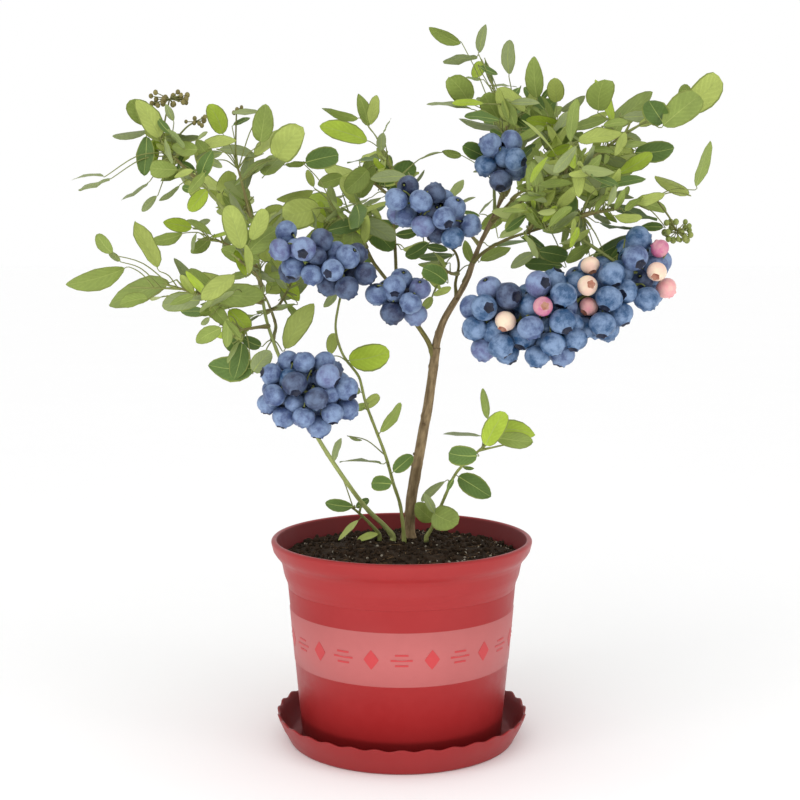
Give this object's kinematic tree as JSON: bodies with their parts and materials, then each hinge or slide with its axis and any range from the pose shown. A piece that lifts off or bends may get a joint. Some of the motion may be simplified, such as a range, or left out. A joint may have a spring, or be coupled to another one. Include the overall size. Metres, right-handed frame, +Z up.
{
  "type": "potted blueberry bush",
  "caption": "Fruiting blueberry bush with leaning woody stems, leafy crown and hanging berry clusters, growing in a round banded plastic pot on a scalloped saucer.",
  "frame": {"origin": "centre of the saucer's flat underside, on the pot's axis", "axes": "+Z up; -Y is the front of the pot as the picture shows it, +X to the right"},
  "size_m": [0.5549, 0.2849, 0.6278],
  "materials": {
    "pot": "satin brick-red plastic with a paler raised band",
    "saucer": "satin brick-red plastic, dark maroon inside",
    "soil": "dark moist peat with pale specks",
    "wood": "tan-brown streaked bark",
    "green_stem": "smooth light green young bark",
    "leaf": "matt yellow-green leaf with fine veins",
    "fruit": "blue-violet berry under a pale bloom"
  },
  "bodies": {
    "root": {"bough_back": "wood", "bough_back_left": "wood", "bough_centre": "wood", "bough_left": "wood", "bough_left_high": "green_stem", "bough_low": "wood", "bough_outer": "wood", "bough_right": "wood", "fruit_centre": "fruit", "fruit_left": "fruit", "fruit_low_left": "fruit", "fruit_middle": "fruit", "fruit_right": "fruit", "fruit_top": "fruit", "leaves_back_far_left": "leaf", "leaves_back_left": "leaf", "leaves_back_low_left": "leaf", "leaves_back_middle": "leaf", "leaves_back_right": "leaf", "leaves_back_top": "leaf", "leaves_centre": "leaf", "leaves_centre_back": "leaf", "leaves_centre_top": "leaf", "leaves_core_high": "leaf", "leaves_core_low": "leaf", "leaves_front_centre": "leaf", "leaves_front_left": "leaf", "leaves_front_right": "leaf", "leaves_left_heart": "leaf", "leaves_left_inner": "leaf", "leaves_left_low": "leaf", "leaves_left_mid": "leaf", "leaves_left_outer": "leaf", "leaves_left_row": "leaf", "leaves_right_low": "leaf", "leaves_top": "leaf", "leaves_top_low": "leaf", "leaves_upper_right": "leaf", "left_stem": "green_stem", "pot": "pot", "saucer": "saucer", "soil": "soil", "sprig_base": "leaf", "sprig_middle": "leaf", "sprig_right": "leaf", "trunk": "wood"}
  },
  "joints": []
}
